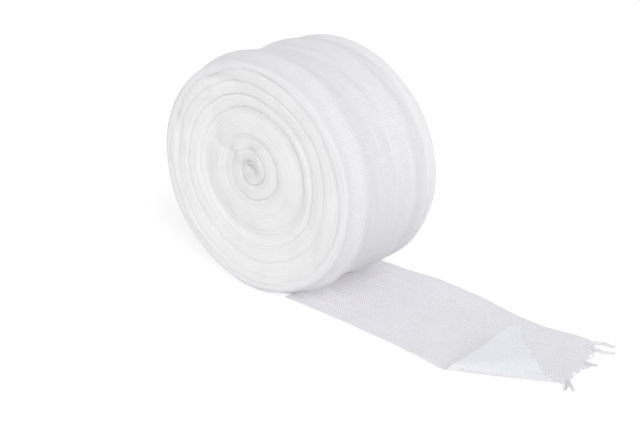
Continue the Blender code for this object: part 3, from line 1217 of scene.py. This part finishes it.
@dataclass
class OuterTurn:
    """The outermost turn of gauze as real woven threads, over the barrel and round its near rim."""

    form: WoundForm
    weave: Weave
    yarn: Yarn
    inset: float = 0.1
    width: float = 47.3
    far_edge: float = 19.4
    edge_drift: float = 0.7
    margin: float = 0.1
    drift_start: float = 0.9
    # Where the rim starts to blend into the barrel, back from the rim's end, and over which distance
    rim_blend: tuple[float, float] = (1.2, 1.6)
    # Thickness of the crosswise threads, what is added to it in one patch, and that patch round and across
    weft_size: float = 0.9
    raised_weft: float = 0.3
    patch: Spot = (0.52, 32.0, 0.3, 5.0)
    columns: int = 372
    rows: int = 90

    def surface(self) -> bpy.types.Object:
        """Makes the helper surface, a little under the outer size.

        Returns:
            The surface, with its flat map.
        """
        angle = np.linspace(-self.margin, TURN + self.margin, self.columns + 1)[:, None]
        across = np.linspace(0.0, self.width, self.rows)[None, :]
        angle, across = np.broadcast_arrays(angle, across)
        far = self.far_edge + self.edge_drift * np.sin(angle - self.drift_start)
        rim_run, _, start = NEAR_RIM[-1]
        along = start + (far - start) * (across - rim_run) / (self.width - rim_run)
        barrel = self.form.barrel_point(along, angle, self.inset)
        share = read_table(NEAR_RIM, 1, across) + self.form.creases(angle, across)
        rim = self.form.point(share, angle, read_table(NEAR_RIM, 2, across))
        rim[..., 2] = np.maximum(rim[..., 2], self.inset)
        before, over = self.rim_blend
        blend = smooth_step((across - rim_run + before) / over)[..., None]
        points = rim * (1.0 - blend) + barrel * blend
        flat = np.stack([(angle + self.margin) / (TURN + 2.0 * self.margin), across / self.width], -1)
        return surface_object("barrel_surface", points[:, ::-1], flat[:, ::-1])

    def plan(self) -> tuple[ThreadPlan, tuple[float, float]]:
        """Plans the threads in the flat.

        Returns:
            The plan, and the flat size of the turn.
        """
        length = self.length()
        start = length * self.margin / TURN
        plan = ThreadPlan.empty()
        wefts = self.weave.wefts(0.0, length)
        warps = self.weave.warps(self.width)
        over_wefts, over_warps = signs(len(wefts)), signs(len(warps))
        for side, across in zip(over_warps, warps):
            line = np.stack([wefts + start, np.full_like(wefts, across)], -1)
            plan.add(line, over_wefts * side, np.ones(len(line)), closed=True)
        for side, place in zip(over_wefts, wefts):
            line = np.stack([place + start + self.weave.pair_shift(side, warps, self.width), warps], -1)
            raised = spot_share(place / length * TURN, warps, self.patch)
            plan.add(line, -over_warps * side, self.weft_size + self.raised_weft * raised)
        return plan, (length + 2.0 * start, self.width)

    def length(self) -> float:
        """Gives the length of the turn."""
        return TURN * math.sqrt((self.form.half_length**2 + self.form.half_height**2) / 2.0)

    def build(self, material: bpy.types.Material, tree: bpy.types.NodeTree) -> bpy.types.Object:
        """Builds the woven turn.

        Args:
            material: The finish.
            tree: The Geometry Nodes tree.

        Returns:
            The piece.
        """
        cloth = self.surface()
        plan, size = self.plan()
        piece = self.yarn.spin("outer_turn", plan, material, tree, cloth, size)
        bpy.data.objects.remove(cloth)
        return piece

    def dress(self, piece: bpy.types.Object, body: bpy.types.Object) -> None:
        """Hangs the turn on the body."""
        finish_piece(piece, ())
        self.length() * MM


@dataclass(frozen=True)
class LooseForm:
    """How the loose end lies: its slight turn, its lifts, its cut and its turned-over corner."""

    width: float = 50.0
    ground: float = 0.32
    start: float = 12.6
    # Place across from the near edge, place along the cloth where it was cut
    cut: Table = (
        (0.0, 124.8), (10.0, 124.6), (16.0, 125.8), (19.0, 127.4), (21.0, 126.6),
        (25.0, 125.3), (29.0, 124.3), (32.0, 123.5), (34.5, 124.9), (36.0, 124.6),
        (38.0, 122.5), (41.0, 121.3), (43.5, 120.9), (45.5, 118.8), (50.0, 116.4),
    )
    edge_hollow: float = 1.0
    edge_reach: float = 9.0
    fold_start: float = 91.7
    fold_angle: float = math.radians(30.6)
    bend_radius: float = 0.95
    bend_growth: float = 0.141
    bend_turn: float = math.radians(145.7)
    fold_lift: float = 0.3
    fold_lift_reach: float = 12.0
    fold_length: float = 38.0
    corner_spread: float = 8.0
    corner_pull: float = -2.3
    corner_run: float = 30.0
    lift_stretch: float = 1.6
    lift_fall: float = 2.0
    # Place along X, place of the cloth's middle in Y
    middle: Table = (
        (0.0, 4.2), (30.0, 4.0), (45.0, 3.4), (61.0, 2.4), (78.0, 0.6), (91.0, -1.2),
        (105.0, -1.8), (135.0, -2.0),
    )
    # Place along X, place across from the near edge, height, reach
    lifts: Table = (
        (46.0, 50.0, 1.3, 13.0), (66.0, 50.0, 0.7, 9.0), (72.0, 20.0, 0.5, 12.0),
        (113.0, 50.0, 1.5, 10.0),
    )

    def cut_end(self, across: np.ndarray) -> np.ndarray:
        """Gives how far along the cloth it was cut at a place across it."""
        return read_table(self.cut, 1, across)

    def aside(self, along: np.ndarray) -> np.ndarray:
        """Gives how far the cloth's middle lies to the side of where it is at the fold."""
        return read_table(self.middle, 1, along) - float(read_table(self.middle, 1, self.fold_start))

    def past_fold(self, along: np.ndarray, across: np.ndarray) -> np.ndarray:
        """Gives how far a place on the cloth is past the fold line, less than 0 before it."""
        aside = self.aside(along) + across
        return (along - self.fold_start) * math.sin(self.fold_angle) - aside * math.cos(self.fold_angle)

    def lift(self, x: np.ndarray, across: np.ndarray, past: np.ndarray, run: np.ndarray) -> np.ndarray:
        """Gives how far the lying cloth stands off the surface.

        Args:
            x: Place along X.
            across: Place across from the near edge.
            past: Distance past the fold line, zero or less.
            run: Distance along the fold line.

        Returns:
            The height in millimetres.
        """
        height = np.abs(SMALL_WAVES.at(x, across))
        for centre, edge, rise, reach in self.lifts:
            spot = (centre, edge, self.lift_stretch * reach, reach)
            height = height + rise * spot_share(x, across, spot, self.lift_fall)
        near_fold = smooth_step(1.0 + past / self.fold_lift_reach) * smooth_step(run / self.fold_length)
        return height + self.fold_lift * near_fold

    def point(self, along: np.ndarray, across: np.ndarray) -> np.ndarray:
        """Gives the cloth's middle surface with its corner turned over.

        Args:
            along: Place along the cloth.
            across: Place across it from the near edge.

        Returns:
            The points, in millimetres, with their coordinates last.
        """
        along, across = np.broadcast_arrays(np.asarray(along, float), np.asarray(across, float))
        loosened = np.clip((along - self.fold_start) / self.corner_run, 0.0, 2.0)
        loosened = loosened * np.clip(1.0 - 2.0 * across / self.width, 0.0, 1.0)
        flap = np.clip((along - self.fold_start) / (self.cut[0][1] - self.fold_start), 0.0, 1.0)
        hollow = self.edge_hollow * np.sin(math.pi * flap) * np.exp(-across / self.edge_reach)
        x = along + self.corner_pull * loosened
        y = read_table(self.middle, 1, along) + across - self.width / 2
        y = y - self.corner_spread * loosened + hollow
        start_y = float(read_table(self.middle, 1, self.fold_start)) - self.width / 2
        cosine, sine = math.cos(self.fold_angle), math.sin(self.fold_angle)
        run = (x - self.fold_start) * cosine + (y - start_y) * sine
        past = (x - self.fold_start) * sine - (y - start_y) * cosine
        ground = self.ground + self.lift(x, across, np.minimum(past, 0.0), run)
        radius = self.bend_radius + self.bend_growth * np.maximum(run, 0.0)
        turn = np.clip(past / radius, 0.0, self.bend_turn)
        beyond = np.maximum(past - radius * self.bend_turn, 0.0)
        reach = radius * np.sin(turn) + beyond * math.cos(self.bend_turn)
        rise = radius * (1 - np.cos(turn)) + beyond * math.sin(self.bend_turn)
        moved = np.where(past > 0, reach - past, 0.0)
        height = ground + np.where(past > 0, rise, 0.0)
        return np.stack([x + moved * sine, y - moved * cosine, height], -1)


SMALL_WAVES = Ripple(length=16.0, height=0.22, seed=31, stretch=1.5)
THREAD_SIZES = Ripple(length=7.0, height=0.06, seed=37)


@dataclass
class LooseEnd:
    """The loose end as real woven threads."""

    form: LooseForm
    weave: Weave
    yarn: Yarn
    past_cut: float = 6.0
    map_step: float = 0.6
    opened: float = 0.4
    closed: float = 0.45
    # How far past the fold line the threads start to close up, and over which distance they do
    closing: tuple[float, float] = (1.0, 2.0)
    # The opened patch, along and across
    patch: Spot = (24.0, 10.0, 16.0, 11.0)
    cut_samples: int = 51

    def surface(self) -> tuple[bpy.types.Object, tuple[float, float]]:
        """Makes the helper surface.

        Returns:
            The surface, and the flat size that its map covers.
        """
        reach = self.reach()
        along = np.linspace(0.0, reach, round(reach / self.map_step))[:, None]
        across = np.linspace(0.0, self.form.width, round(self.form.width / self.map_step))[None, :]
        points = self.form.point(along, across)
        shares = np.broadcast_arrays(along / reach, across / self.form.width)
        return surface_object("cloth_surface", points, np.stack(shares, -1)), (reach, self.form.width)

    def reach(self) -> float:
        """Gives how far along the cloth the helper surface runs."""
        return self.furthest() + self.past_cut

    def furthest(self) -> float:
        """Gives how far along the cloth its cut reaches."""
        return max(row[1] for row in self.form.cut)

    def openness(self, along: np.ndarray, across: np.ndarray) -> np.ndarray:
        """Gives the threads' thickness, thin where the weave is pulled open and full on the flap.

        Args:
            along: Place along the cloth.
            across: Place across it.

        Returns:
            The thickness at each place, as a share of the yarn's.
        """
        opened = self.opened * spot_share(along, across, self.patch)
        after, over = self.closing
        flap = smooth_step((self.form.past_fold(along, across) - after) / over)
        return 1.0 - opened + self.closed * flap + THREAD_SIZES.at(along, across)

    def plan(self) -> ThreadPlan:
        """Plans the threads in the flat, each ending at the cut.

        Returns:
            The plan.
        """
        plan = ThreadPlan.empty()
        form = self.form
        warps = self.weave.warps(form.width)
        wefts = self.weave.wefts(form.start, self.furthest())
        along, level = with_middles(wefts)
        for side, across in zip(signs(len(warps)), warps):
            kept = along <= form.cut_end(across)
            line = np.stack([along, np.full_like(along, across)], -1)[kept]
            plan.add(line, level[kept] * side, self.openness(line[:, 0], line[:, 1]))
        across, level = with_middles(warps)
        for side, place in zip(signs(len(wefts)), wefts):
            line = np.stack([place + self.weave.pair_shift(side, across, form.width), across], -1)
            kept = line[:, 0] <= form.cut_end(across)
            for part in np.split(np.arange(len(across)), np.flatnonzero(np.diff(kept.astype(int))) + 1):
                if kept[part[0]]:
                    plan.add(line[part], -level[part] * side, self.openness(line[part, 0], across[part]))
        return plan

    def build(self, material: bpy.types.Material, tree: bpy.types.NodeTree) -> bpy.types.Object:
        """Builds the woven loose end.

        Args:
            material: The finish.
            tree: The Geometry Nodes tree.

        Returns:
            The piece.
        """
        cloth, size = self.surface()
        piece = self.yarn.spin("woven_loose_end", self.plan(), material, tree, cloth, size)
        bpy.data.objects.remove(cloth)
        return piece

    def dress(self, piece: bpy.types.Object, fray: bpy.types.Object, body: bpy.types.Object) -> None:
        """Hangs the loose end on the body.

        Args:
            piece: The woven loose end.
            fray: The loose threads at its cut; not used.
            body: The wound body that it rests on; not used.
        """
        finish_piece(piece, ("loose_end",))
        across = np.linspace(0.0, self.form.width, self.cut_samples)
        length = float(self.form.cut_end(across).mean()) - self.form.start


@dataclass(frozen=True)
class Bundle:
    """Loose threads that run together from the cut, twisted or spreading."""

    # Places that the bundle's middle runs through
    path: Table
    threads: int
    radius: float
    twist: float
    spread: float
    seed: int
    # Shares of the path that the threads reach, shares of the radius that they keep, and how flat they lie
    lengths: tuple[float, float] = (0.8, 1.0)
    reaches: tuple[float, float] = (0.6, 1.0)
    flatness: float = 0.8

    def lines(self, steps: int) -> list[np.ndarray]:
        """Gives the path of each thread.

        Args:
            steps: Points in each thread.

        Returns:
            One array of points in millimetres for each thread.
        """
        rng = np.random.default_rng(self.seed)
        knots = np.linspace(0.0, 1.0, len(self.path))
        table = tuple((knot, *place) for knot, place in zip(knots, self.path))
        found = []
        for index in range(self.threads):
            share = np.linspace(0.0, rng.uniform(*self.lengths), steps)
            middle = np.stack([read_table(table, column, share) for column in (1, 2, 3)], -1)
            run = np.gradient(middle, axis=0)
            side = np.cross(run / np.linalg.norm(run, axis=-1, keepdims=True), (0.0, 0.0, 1.0))
            turn = TURN * (index / self.threads + self.twist * share)
            reach = self.radius * rng.uniform(*self.reaches) * (1.0 + self.spread * share**2)
            line = middle + side * (reach * np.cos(turn))[:, None]
            line[:, 2] += reach * np.sin(turn) * self.flatness
            found.append(line)
        return found


@dataclass
class FrayedEnd:
    """The loose threads that leave the cut end."""

    form: LooseForm
    weave: Weave
    yarn: Yarn
    steps: int = 12
    seed: int = 14
    lying_slope: float = 0.9
    fuzz_per_thread: int = 2
    # How far inside the cut a thread starts, and the step that finds the cloth's directions there
    tuck: float = 0.6
    probe: float = 0.2
    # A thread's sway to the side, its bounce up and down, and its ripple on the surface that it lies on
    sway_power: float = 1.3
    sway_rate: float = 5.0
    bounce: float = 0.5
    bounce_rate: float = 4.0
    ripple: float = 0.12
    ripple_rate: float = 9.0
    # Spread of the threads along the cut, and how close to its corners they come
    scatter: float = 0.3
    corner_clear: float = 0.1
    length_range: tuple[float, float] = (0.4, 1.2)
    drift_range: tuple[float, float] = (0.6, 1.3)
    curl_range: tuple[float, float] = (0.1, 0.6)
    size_range: tuple[float, float] = (0.5, 1.0)
    tip_size: float = 0.45
    bundle_tip_size: float = 0.6
    # Place across from the near edge, length, sideways drift
    lengths: Table = (
        (0.0, 1.4, 0.3), (7.0, 1.2, 0.1), (14.0, 1.4, -0.2), (18.0, 2.6, -1.4),
        (20.0, 3.4, -2.4), (22.0, 2.4, -1.0), (25.0, 1.6, 0.0), (31.0, 1.8, 0.4),
        (36.0, 1.6, -0.3), (43.0, 1.6, 0.3), (50.0, 1.2, 0.6),
    )
    bundles: tuple[Bundle, ...] = (
        Bundle(
            path=((114.5, 22.6, 0.6), (117.2, 24.6, 0.6), (120.6, 25.6, 0.9), (124.2, 26.3, 0.6)),
            threads=13,
            radius=0.6,
            twist=1.6,
            spread=-0.3,
            seed=3,
        ),
        Bundle(
            path=((116.0, 19.6, 0.6), (119.8, 19.9, 0.7), (123.4, 20.2, 0.8), (126.6, 22.4, 0.5)),
            threads=13,
            radius=0.6,
            twist=1.8,
            spread=-0.3,
            seed=4,
        ),
        Bundle(
            path=((125.6, -4.6, 0.6), (127.6, -6.3, 0.8), (129.8, -7.8, 0.7), (132.0, -10.0, 0.4)),
            threads=12,
            radius=0.6,
            twist=0.5,
            spread=-0.6,
            seed=5,
        ),
        Bundle(
            path=((125.6, -5.6, 0.6), (127.4, -7.4, 0.6), (128.6, -9.4, 0.5), (129.4, -11.4, 0.35)),
            threads=5,
            radius=0.5,
            twist=0.3,
            spread=0.5,
            seed=6,
        ),
        Bundle(
            path=((122.6, 9.6, 0.6), (124.6, 9.9, 0.6), (126.4, 10.4, 0.5), (127.6, 10.6, 0.4)),
            threads=4,
            radius=0.5,
            twist=0.4,
            spread=0.3,
            seed=7,
        ),
    )

    def thread(self, across: float, length: float, drift: float, curl: float, start: float) -> np.ndarray:
        """Gives the path of one loose thread.

        Args:
            across: Where it leaves the cloth.
            length: Its length.
            drift: How far its tip moves sideways.
            curl: How strongly it waves.
            start: Where its waves start.

        Returns:
            Its points in millimetres.
        """
        cut = float(self.form.cut_end(across)) - self.tuck
        root = self.form.point(cut, across)
        forward = self.form.point(cut + self.probe, across) - root
        side = self.form.point(cut, across + self.probe) - root
        forward, side = forward / np.linalg.norm(forward), side / np.linalg.norm(side)
        up = np.cross(forward, side)
        share = np.linspace(0.0, 1.0, self.steps)[:, None]
        sway = drift * share**self.sway_power + curl * share * np.sin(share * self.sway_rate + start)
        bounce = self.bounce * curl * share * np.cos(share * self.bounce_rate + 2.0 * start)
        line = root + forward * (length + self.tuck) * share + side * sway + up * bounce
        if up[2] > self.lying_slope:
            fall = smooth_step(share[:, 0])
            wave = self.ripple * (1 + np.sin(self.ripple_rate * fall + start))
            resting = self.form.ground - self.ripple + wave
            line[:, 2] = line[:, 2] * (1.0 - fall) + fall * resting
        line[:, 2] = np.maximum(line[:, 2], self.yarn.half_width)
        return line

    def build(self, material: bpy.types.Material, tree: bpy.types.NodeTree) -> bpy.types.Object:
        """Builds the fray.

        Args:
            material: The finish.
            tree: The Geometry Nodes tree.

        Returns:
            The piece.
        """
        rng = np.random.default_rng(self.seed)
        plan = ThreadPlan.empty()
        taper = np.linspace(1.0, self.tip_size, self.steps)
        clear = self.corner_clear
        for place in np.repeat(self.weave.warps(self.form.width), self.fuzz_per_thread):
            across = float(np.clip(place + rng.normal(0.0, self.scatter), clear, self.form.width - clear))
            length = float(read_table(self.lengths, 1, across)) * rng.uniform(*self.length_range)
            drift = float(read_table(self.lengths, 2, across)) * rng.uniform(*self.drift_range)
            line = self.thread(across, length, drift, rng.uniform(*self.curl_range), rng.uniform(0.0, TURN))
            plan.add(line, np.zeros(self.steps), taper * rng.uniform(*self.size_range))
        for bundle in self.bundles:
            for line in bundle.lines(self.steps * 2):
                line[:, 2] = np.maximum(line[:, 2], self.yarn.half_width)
                plan.add(line, np.zeros(len(line)), np.linspace(1.0, self.bundle_tip_size, len(line)))
        return self.yarn.spin("frayed_threads", plan, material, tree)

    def dress(self, piece: bpy.types.Object) -> None:
        """Hangs the fray on the body."""
        finish_piece(piece, ("frayed_end",))


@dataclass(frozen=True)
class Studio:
    """The pale sweep, the soft lights and the camera."""

    camera_at: Triple = (0.367, -0.3747, 0.2243)
    look: tuple[float, float] = (-0.689, 0.725)
    pitch: float = 0.3682
    lens: float = 84.4
    sensor: float = 36.0
    sky: float = 0.58
    key_from: Triple = (0.66, -0.42, 0.55)
    key_strength: float = 1.0
    fill_from: Triple = (0.3, -0.4, 0.87)
    fill_strength: float = 0.75
    light_spread: float = 0.6
    sweep: float = 4.0

    def floor(self) -> None:
        """Lays the sweep."""
        mesh = bpy.data.meshes.new("sweep")
        ways = ((-1, -1), (1, -1), (1, 1), (-1, 1))
        mesh.from_pydata([(x * self.sweep, y * self.sweep, 0.0) for x, y in ways], [], [(0, 1, 2, 3)])
        mesh.materials.append(PaperFinish().build())
        add_mesh("sweep", mesh)

    def light(self, name: str, place: Triple, strength: float, shadow: bool) -> None:
        """Hangs one far soft light, whose strength is even over the whole sweep.

        Args:
            name: What the light is called.
            place: The direction that it comes from.
            strength: Its strength.
            shadow: Whether it casts shadows, which a fill light doesn't.
        """
        lamp = bpy.data.lights.new(name, "SUN")
        lamp.angle = self.light_spread
        lamp.energy = strength
        lamp.use_shadow = shadow
        item = bpy.data.objects.new(name, lamp)
        item.rotation_euler = Vector(place).to_track_quat("Z", "Y").to_euler()
        bpy.context.scene.collection.objects.link(item)

    def build(self) -> None:
        """Sets up the floor, the lights and the camera."""
        self.floor()
        self.light("key", self.key_from, self.key_strength, True)
        self.light("fill", self.fill_from, self.fill_strength, False)
        world = bpy.data.worlds.new("studio")
        world.use_nodes = True
        nodes = Nodes(world.node_tree)
        white = {"Color": (1.0, 1.0, 1.0, 1.0), "Strength": self.sky}
        sky = nodes.get("ShaderNodeBackground", "Background", None, white)
        nodes.add("ShaderNodeOutputWorld", None, {"Surface": sky})
        scene = bpy.context.scene
        scene.world = world
        scene.view_settings.view_transform = "Standard"
        camera = bpy.data.objects.new("camera", bpy.data.cameras.new("camera"))
        camera.data.sensor_width = self.sensor
        camera.data.lens = self.lens
        camera.location = self.camera_at
        level = math.cos(self.pitch)
        heading = Vector((self.look[0] * level, self.look[1] * level, -math.sin(self.pitch)))
        camera.rotation_euler = heading.to_track_quat("-Z", "Y").to_euler()
        scene.collection.objects.link(camera)
        scene.camera = camera


def main() -> None:
    logging.basicConfig(level=logging.INFO, format="%(name)s %(message)s")
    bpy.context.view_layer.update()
    wound = CottonFinish(
        "wound_cotton",
        light=(0.775, 0.772, 0.778),
        shaded=(0.73, 0.727, 0.736),
        weave_pitch=1.1,
        weave_depth=0.05,
        translucence=0.4,
        barrel=(0.73, 0.722, 0.738),
    )
    woven = CottonFinish("woven_cotton", (0.745, 0.738, 0.754), (0.715, 0.708, 0.726), patch_size=5.0)
    loosened = CottonFinish(
        "loose_cotton",
        light=(0.757, 0.747, 0.787),
        shaded=(0.725, 0.715, 0.754),
        patch_size=5.0,
        # Painted shade for the raised flap of the loose end
        painted_raised_shade=(0.695, 0.708, 0.742),
    )
    frayed = CottonFinish("frayed_cotton", (0.77, 0.765, 0.795), (0.7, 0.695, 0.725), patch_size=5.0)

    form = WoundForm()
    body_maker = WoundBody(form)
    body = body_maker.build()
    body_maker.dress(body, wound.build())

    turn_weave = Weave(hole_row=0.7, pair_pull=0.0, uneven=0.08, seed=9)
    turn_yarn = Yarn(half_width=0.42, flatness=0.12, weave_height=0.015, seed=3.0)
    turn_maker = OuterTurn(form, turn_weave, turn_yarn)
    turn = turn_maker.build(woven.build(), ThreadTree("wound_threads", Lay.ON_CLOTH, sides=3).build())
    turn_maker.dress(turn, body)

    loose_form = LooseForm()
    loose_weave = Weave(hole_row=1.1, pair_pull=0.12, uneven=0.07)
    fray_maker = FrayedEnd(loose_form, loose_weave, Yarn(half_width=0.3, flatness=0.8, rounded=True))
    fray = fray_maker.build(frayed.build(), ThreadTree("free_threads", Lay.FREE, sides=5).build())
    fray_maker.dress(fray)
    loose_yarn = Yarn(half_width=0.385, flatness=0.18, weave_height=0.05, seed=7.0)
    loose_maker = LooseEnd(loose_form, loose_weave, loose_yarn)
    loose = loose_maker.build(loosened.build(), ThreadTree("laid_threads", Lay.ON_CLOTH, sides=4).build())
    loose_maker.dress(loose, fray, body)

    Studio().build()


if __name__ == "__main__":
    main()
